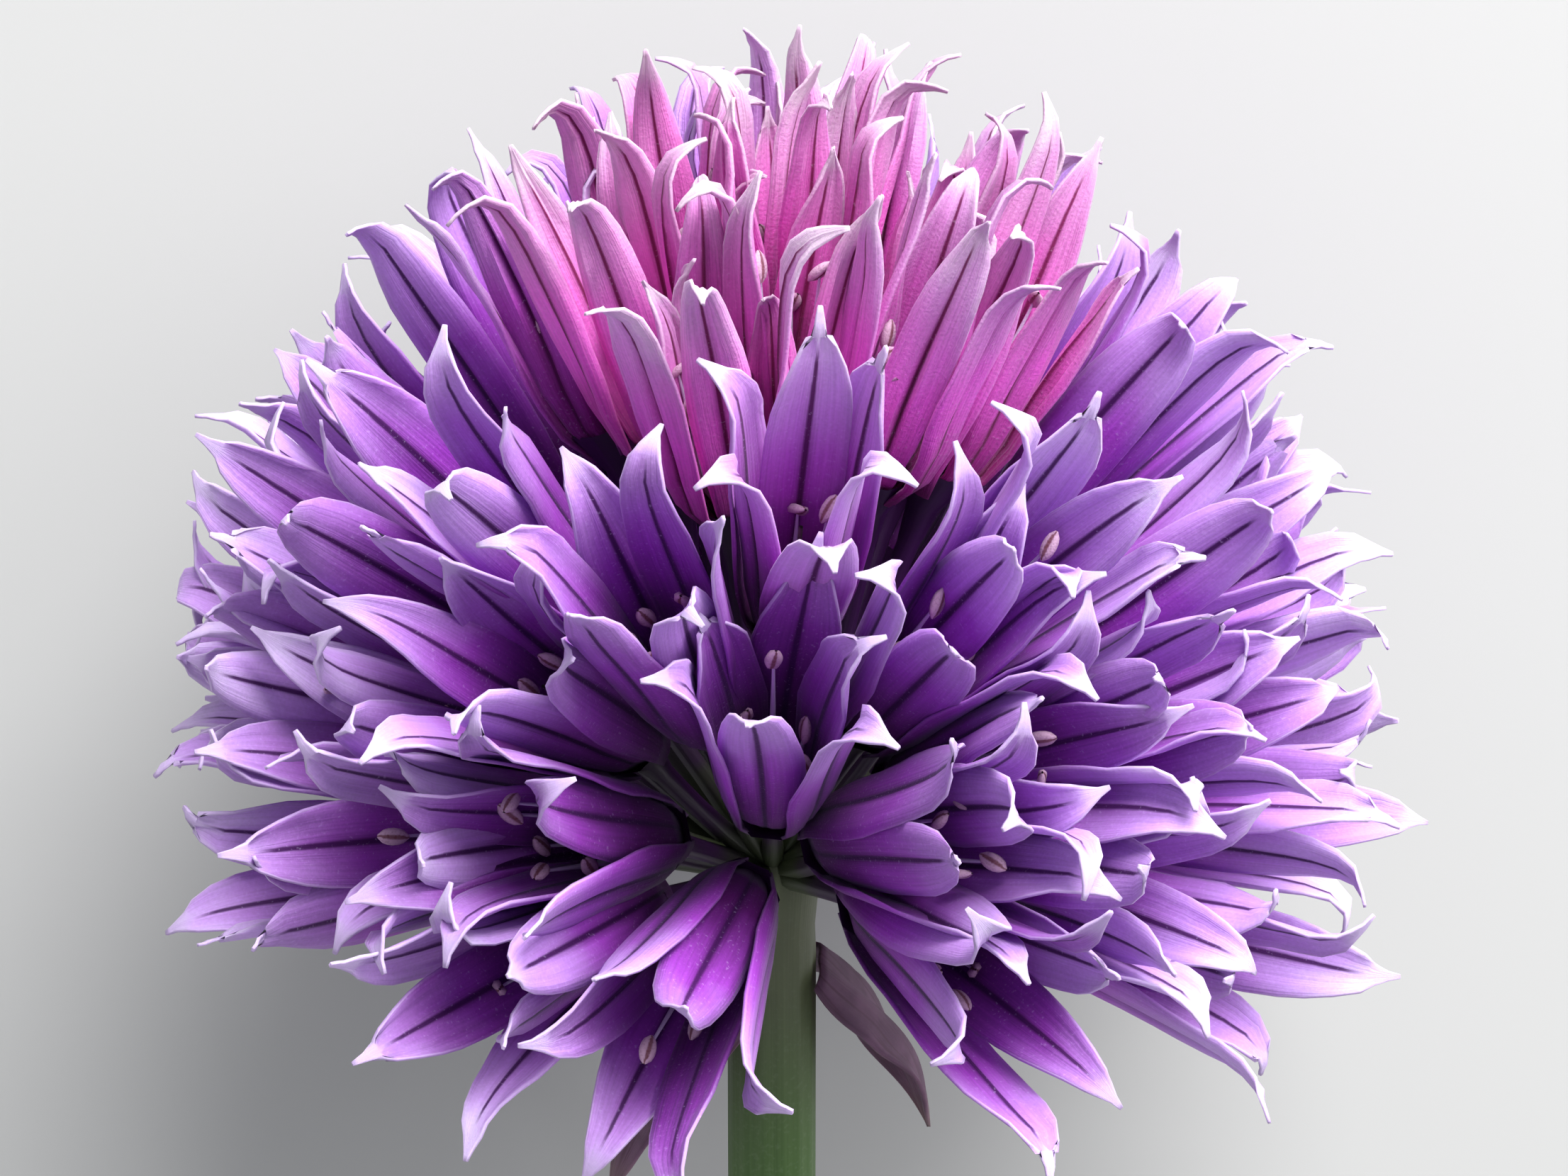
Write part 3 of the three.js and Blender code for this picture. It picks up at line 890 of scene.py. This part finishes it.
def anther_points(at, axis, outward, span):
    """Two long lobes side by side, joined along a groove."""
    beside = np.cross(axis, outward)
    turns = np.linspace(0, 2 * math.pi, ANTHER_SIDES + 1)
    points = []
    for part in np.linspace(0, 1, ANTHER_STEPS + 1):
        bulge = max(0.02, math.sin(math.pi * part)) ** 0.45
        across = np.cos(turns)
        radius = 1 - 0.35 * np.exp(-((across / 0.3) ** 2))
        ring = np.outer(0.27 * across * radius, beside) + np.outer(0.2 * np.sin(turns) * radius, outward)
        points.append(at + axis * (part - 0.5) * span + ring * bulge * span)
    return np.array(points)


def add_stamen(mesh, floret, kind, blade, tepal, draw):
    """A tapering filament, against the foot of its tepal, and the anther on its end."""
    outward = floret.outward(tepal["azimuth"] + 0.2 * next(draw))
    reach = kind.stamen * (0.55 + 0.45 * next(draw) ** 4)
    lean = 0.1 * MM * next(draw)
    parts = np.linspace(0, 1, FILAMENT_STEPS + 1)
    start = floret.base + floret.axis * FILAMENT_ROOT
    path = [
        start + floret.axis * reach * part + outward * ((0.4 + 0.7 * part**0.5) * MM + lean * part)
        for part in parts
    ]
    radii = blade.filament * (1 - 0.75 * parts)
    verts = add_sheet(mesh, tube_points(np.array(path), radii, FILAMENT_SIDES))
    set_map(mesh, verts, 0, 0.49)
    axis = floret.axis + outward * 0.9 * next(draw) + np.cross(floret.axis, outward) * 0.6 * next(draw)
    axis = unit(axis)
    facing = unit(outward - axis * np.dot(outward, axis))
    verts = add_sheet(mesh, anther_points(path[-1], axis, facing, blade.anther))
    set_map(mesh, verts, 0.51, 1)


class CHIVE_OT_stamens(bpy.types.Operator):
    """Adds six stamens to each floret"""

    bl_idname = "chive.stamens"
    bl_label = "Stamens"

    def execute(self, context):
        scene = context.scene
        material = stamen_material(scene.chive_colours)
        for hue, kind in {"purple": scene.chive_purple, "pink": scene.chive_pink}.items():
            mesh = new_mesh()
            draw = seeded_draw(kind.seed + 2)
            for floret in lay_florets(scene, kind):
                for tepal in floret.tepals:
                    add_stamen(mesh, floret, kind, scene.chive_blade, tepal, draw)
            close_seams(mesh)
            add_piece(hue + "_stamens", mesh, material)
        return {"FINISHED"}


OVARY_STEPS = 8
OVARY_SIDES = 12
STYLE_REACH = 4.5 * MM
STYLE_RADIUS = 0.13 * MM


class CHIVE_OT_ovaries(bpy.types.Operator):
    """Adds each floret's three-lobed ovary with its style"""

    bl_idname = "chive.ovaries"
    bl_label = "Ovaries"

    def execute(self, context):
        scene = context.scene
        radius = scene.chive_blade.ovary
        mesh = new_mesh()
        turns = np.linspace(0, 2 * math.pi, OVARY_SIDES + 1)
        lobes = 1 + 0.12 * np.cos(3 * turns)
        parts = np.linspace(0, 1, OVARY_STEPS + 1)
        for floret in lay_florets(scene, scene.chive_purple) + lay_florets(scene, scene.chive_pink):
            path = floret.base + np.outer(parts * 2 * radius + 0.5 * MM, floret.axis)
            radii = [radius * max(0.02, math.sin(math.pi * part)) ** 0.6 * lobes for part in parts]
            add_sheet(mesh, tube_points(path, radii, OVARY_SIDES))
            path = floret.base + np.outer(2 * radius + parts * STYLE_REACH, floret.axis)
            add_sheet(mesh, tube_points(path, STYLE_RADIUS * (1 - 0.5 * parts), FILAMENT_SIDES))
        close_seams(mesh)
        add_piece("ovaries", mesh, ovary_material(scene.chive_colours))
        return {"FINISHED"}


STALK_STEPS = 10
STALK_SIDES = 8
STALK_START = 0.6 * MM  # from the knob's middle
KNOB_DEPTH = 1.6 * MM  # of the knob's middle, below the umbel's centre
STALK_BOW = 0.5 * MM
STALK_END = 0.9 * MM  # above the floret's base
RECEPTACLE = 1.9 * MM  # radius of the knob that the stalks spring from


class CHIVE_OT_stalks(bpy.types.Operator):
    """Adds the florets' stalks, which bow a little and widen into the floret's base"""

    bl_idname = "chive.stalks"
    bl_label = "Stalks"

    def execute(self, context):
        scene = context.scene
        head = Head(scene)
        mesh = new_mesh()
        draw = seeded_draw(scene.chive_purple.seed + 3)
        parts = np.linspace(0, 1, STALK_STEPS + 1)
        for floret in lay_florets(scene, scene.chive_purple) + lay_florets(scene, scene.chive_pink):
            root = head.centre - head.pole * KNOB_DEPTH + floret.axis * STALK_START
            end = floret.base + floret.axis * STALK_END
            bow = np.cross(floret.axis, floret.outward(3 * next(draw))) * STALK_BOW * next(draw)
            path = root + np.outer(parts, end - root) + np.outer(np.sin(math.pi * parts), bow)
            widen = 1 + 1.9 * smoothstep(0.86, 1, parts) - 0.25 * np.sin(math.pi * parts)
            add_sheet(mesh, tube_points(path, scene.chive_blade.stalk * widen, STALK_SIDES))
        close_seams(mesh)
        material = stalk_material(scene.chive_colours)
        add_piece("floret_stalks", mesh, material, ["purple_florets"])
        return {"FINISHED"}


# ---- Stem and bracts ----

STEM_STEPS = 90
STEM_SIDES = 48
STEM_RIDGES = 14
RIDGE_DEPTH = 0.035 * MM
CUT_BEVEL = 0.1 * MM
CUT_SLANT = 0.35 * MM  # how far the knife's cut leans across the stem
TOP_LENGTH = 3.4 * MM  # of the stretch where the stem swells into the umbel's base
BORE_SHARES = np.array([0.9, 0.6, 0.3, 0.02])  # of the stem's length, from the bore's end to its mouth
CLOSED = 0.01 * MM  # a ring this small counts as closed


def stem_path(head, stem, parts):
    """Points of the stem's axis, from 0 at the cut end to 1 at the umbel's centre."""
    rise = head.sizes.height - stem.radius
    end = head.centre[1] - stem.reach
    points = np.zeros((len(parts), 3))
    points[:, 0] = head.centre[0]
    points[:, 1] = end + stem.reach * parts
    points[:, 2] = stem.radius + rise * np.power(parts, stem.rise_power)
    return points


def stem_rows(stem):
    """Each row's share of the stem's length, and its radius.

    The rows run down the inside of the bore, out over the cut face, and up the outside to the knob.
    """
    outer = np.linspace(0, 1 - 0.8 * MM / stem.reach, STEM_STEPS + 1)
    top = smoothstep(1 - TOP_LENGTH / stem.reach, 1, outer)
    crown = np.sqrt(np.clip((1 - outer) * stem.reach / RECEPTACLE, 0, 1))
    outside = (stem.radius + stem.swell * top) * crown
    outer[0] = CUT_BEVEL / stem.reach
    bore = [CLOSED, stem.bore, stem.bore, stem.bore]
    face = [stem.bore, stem.radius - CUT_BEVEL]
    return np.concatenate([BORE_SHARES, [0, 0], outer]), np.concatenate([bore, face, outside])


def stem_points(head, stem):
    """The points of the stem's rings, with which of their rows lie in the cut face."""
    parts, radii = stem_rows(stem)
    turns = np.linspace(0, 2 * math.pi, STEM_SIDES + 1)
    rise = head.sizes.height - stem.radius
    points = []
    for row, (middle, radius, part) in enumerate(zip(stem_path(head, stem, parts), radii, parts)):
        slope = stem.rise_power * rise / stem.reach * part ** (stem.rise_power - 1)
        up = np.array([0, -slope, 1]) / math.hypot(1, slope)
        outside = row > len(BORE_SHARES) + 1 and part < 0.95
        edge = radius + RIDGE_DEPTH * np.cos(STEM_RIDGES * turns) * outside
        ring = middle + np.outer(edge * np.cos(turns), [1, 0, 0]) + np.outer(edge * np.sin(turns), up)
        if part * stem.reach <= CUT_BEVEL:
            ring[:, 1] += CUT_SLANT * np.sin(turns + 0.6) * radius / stem.radius
        points.append(ring)
    points = np.array(points)
    points[..., 2] = np.maximum(points[..., 2], 0.02 * MM)
    points[..., 1] = np.maximum(points[..., 1], CAD_BOX[0][1])
    return points, parts == 0


class CHIVE_OT_stem(bpy.types.Operator):
    """Adds the hollow stem, from its cut end to the knob that the stalks spring from"""

    bl_idname = "chive.stem"
    bl_label = "Stem"

    def execute(self, context):
        scene = context.scene
        points, in_cut = stem_points(Head(scene), scene.chive_stem)
        mesh = new_mesh()
        add_sheet(mesh, points, {mesh.verts.layers.float.new("cut"): in_cut})
        close_seams(mesh)
        add_piece("hollow_stem", mesh, stem_material(scene.chive_colours), ["stem"])
        return {"FINISHED"}


BRACT_ROWS = 26
BRACT_COLUMNS = 14
BRACT_AZIMUTHS = {"spathe_bract_left": 158, "spathe_bract_right": 338}
BRACT_PAPER = 0.12 * MM
BRACT_GAP = 0.2 * MM  # from the stem
BRACT_WRINKLE = 0.16 * MM
BRACT_WARP = 0.22 * MM
CLASP_END = 0.35  # the share of its length along which a bract clasps the stem
KNOT_RADIUS = 3.8 * MM  # of the knot of stalks that the bracts hang below


def bract_points(head, sizes, stem, degrees):
    """The points of one bract, which leans out from the stem's top and droops."""
    edge = np.linspace(-1, 1, BRACT_COLUMNS + 1)
    out = head.direction(math.pi / 2, math.radians(degrees))
    aside = np.cross(out, head.pole)
    middle = head.centre - head.pole * (KNOT_RADIUS + sizes.below)
    middle = middle + out * (stem.radius + BRACT_GAP)
    step = sizes.span / BRACT_ROWS
    rows = []
    for index in range(BRACT_ROWS + 1):
        along = index / BRACT_ROWS
        lean = sizes.lean - sizes.droop * along
        heading = out * math.sin(lean) - head.pole * math.cos(lean)
        inward = -out * math.cos(lean) - head.pole * math.sin(lean)
        wide = math.sin(math.pi * (0.22 + 0.78 * along)) ** 0.8 if along < 1 else 0.0
        half = max(sizes.width / 2 * wide, 0.03 * MM)
        clasp = 1 - smoothstep(0, CLASP_END, along)
        depth = half * (0.35 + 0.5 * clasp) * edge**2
        depth += BRACT_WRINKLE * np.sin(edge * 7 + along * 6 + degrees) * wide
        depth += BRACT_WARP * math.sin(along * 9 + degrees) * edge * wide
        rows.append(middle + np.outer(edge * half, aside) + np.outer(depth, inward))
        middle = middle + heading * step
    return np.array(rows)


class CHIVE_OT_bracts(bpy.types.Operator):
    """Adds the two papery bracts, clasping the stem's top"""

    bl_idname = "chive.bracts"
    bl_label = "Bracts"

    def execute(self, context):
        scene = context.scene
        head = Head(scene)
        material = bract_material(scene.chive_colours)
        for node, degrees in BRACT_AZIMUTHS.items():
            mesh = new_mesh()
            add_sheet(mesh, bract_points(head, scene.chive_bract, scene.chive_stem, degrees))
            piece = add_piece("papery_" + node, mesh, material, [node])
            add_thickness(piece, BRACT_PAPER)
        return {"FINISHED"}


# ---- The stage ----


# Each lamp's place from the umbel's centre, its width, and its power in watts.
LAMPS = {
    "key": ((0.14, 0.42, 0.25), 0.35, 5.8),
    "fill": ((0.34, 0.2, 0.2), 0.4, 1.5),
}
SKY_TINT = (0.92, 0.95, 1, 1)
SKY_STRENGTH = 0.6
FLOOR_HALF_WIDTH = 1.5


def add_lamp(name, at, aim, size, power):
    data = bpy.data.lights.new(name, "AREA")
    data.shape = "DISK"
    data.size = size
    data.energy = power
    lamp = add_object(name, data)
    lamp.location = at
    lamp.rotation_euler = (Vector(aim) - Vector(at)).to_track_quat("-Z", "Y").to_euler()


class CHIVE_OT_stage(bpy.types.Operator):
    """Adds the floor, the soft lights and the camera that looks down on the head"""

    bl_idname = "chive.stage"
    bl_label = "Stage"

    def execute(self, context):
        scene = context.scene
        head = Head(scene)
        centre = Vector(head.centre)
        self.add_floor(scene)
        self.add_lights(centre)
        self.add_world(scene)
        self.add_camera(scene, head, centre)
        scene.view_settings.view_transform = "Standard"
        return {"FINISHED"}

    def add_floor(self, scene):
        mesh = bmesh.new()
        bmesh.ops.create_grid(mesh, x_segments=2, y_segments=2, size=FLOOR_HALF_WIDTH)
        data = bpy.data.meshes.new("floor")
        mesh.to_mesh(data)
        mesh.free()
        data.materials.append(floor_material(scene.chive_colours))
        floor = add_object("floor", data)

    def add_lights(self, centre):
        for name, (offset, size, power) in LAMPS.items():
            add_lamp(name, centre + Vector(offset), centre, size, power)

    def add_world(self, scene):
        world = bpy.data.worlds.new("soft daylight")
        world.use_nodes = True
        background = world.node_tree.nodes["Background"]
        background.inputs["Color"].default_value = SKY_TINT
        background.inputs["Strength"].default_value = SKY_STRENGTH
        scene.world = world

    def add_camera(self, scene, head, centre):
        stage = scene.chive_stage
        height = stage.tilt - head.tilt
        toward = Vector((0, math.sin(height), math.cos(height)))
        upward = Vector((0, math.cos(height), -math.sin(height)))
        right = Vector((1, 0, 0))
        data = bpy.data.cameras.new("camera")
        data.sensor_width = 36
        data.lens = data.sensor_width * stage.distance / stage.frame_width
        data.clip_start = 0.01
        data.clip_end = 10
        camera = add_object("camera", data)
        target = centre + upward * stage.aim_up + right * stage.aim_right
        camera.matrix_world = Matrix.Translation(target + toward * stage.distance) @ Matrix(
            (right, upward, toward)
        ).transposed().to_4x4()
        scene.camera = camera


class CHIVE_PT_flower(bpy.types.Panel):
    """Lists the flower's operators and its sizes and colours"""

    bl_idname = "CHIVE_PT_flower"
    bl_label = "Chive flower"
    bl_space_type = "VIEW_3D"
    bl_region_type = "UI"
    bl_category = "Chive flower"

    def draw(self, context):
        for operator in OPERATORS:
            self.layout.operator(operator.bl_idname)
        for name, group in GROUPS.items():
            box = self.layout.box()
            box.label(text=group.__name__)
            for field in group.__annotations__:
                box.prop(getattr(context.scene, name), field)


OPERATORS = [
    CHIVE_OT_purple_tepals,
    CHIVE_OT_pink_tepals,
    CHIVE_OT_stamens,
    CHIVE_OT_ovaries,
    CHIVE_OT_stalks,
    CHIVE_OT_stem,
    CHIVE_OT_bracts,
    CHIVE_OT_stage,
]
CLASSES = [*GROUPS.values(), *OPERATORS, CHIVE_PT_flower]


def register():
    for each in CLASSES:
        bpy.utils.register_class(each)
    for name, group in GROUPS.items():
        setattr(bpy.types.Scene, name, PointerProperty(type=group))


def unregister():
    for name in GROUPS:
        delattr(bpy.types.Scene, name)
    for each in reversed(CLASSES):
        bpy.utils.unregister_class(each)


def main():
    register()
    for operator in OPERATORS:
        _, verb = operator.bl_idname.split(".")
        getattr(bpy.ops.chive, verb)()


if __name__ == "__main__":
    main()
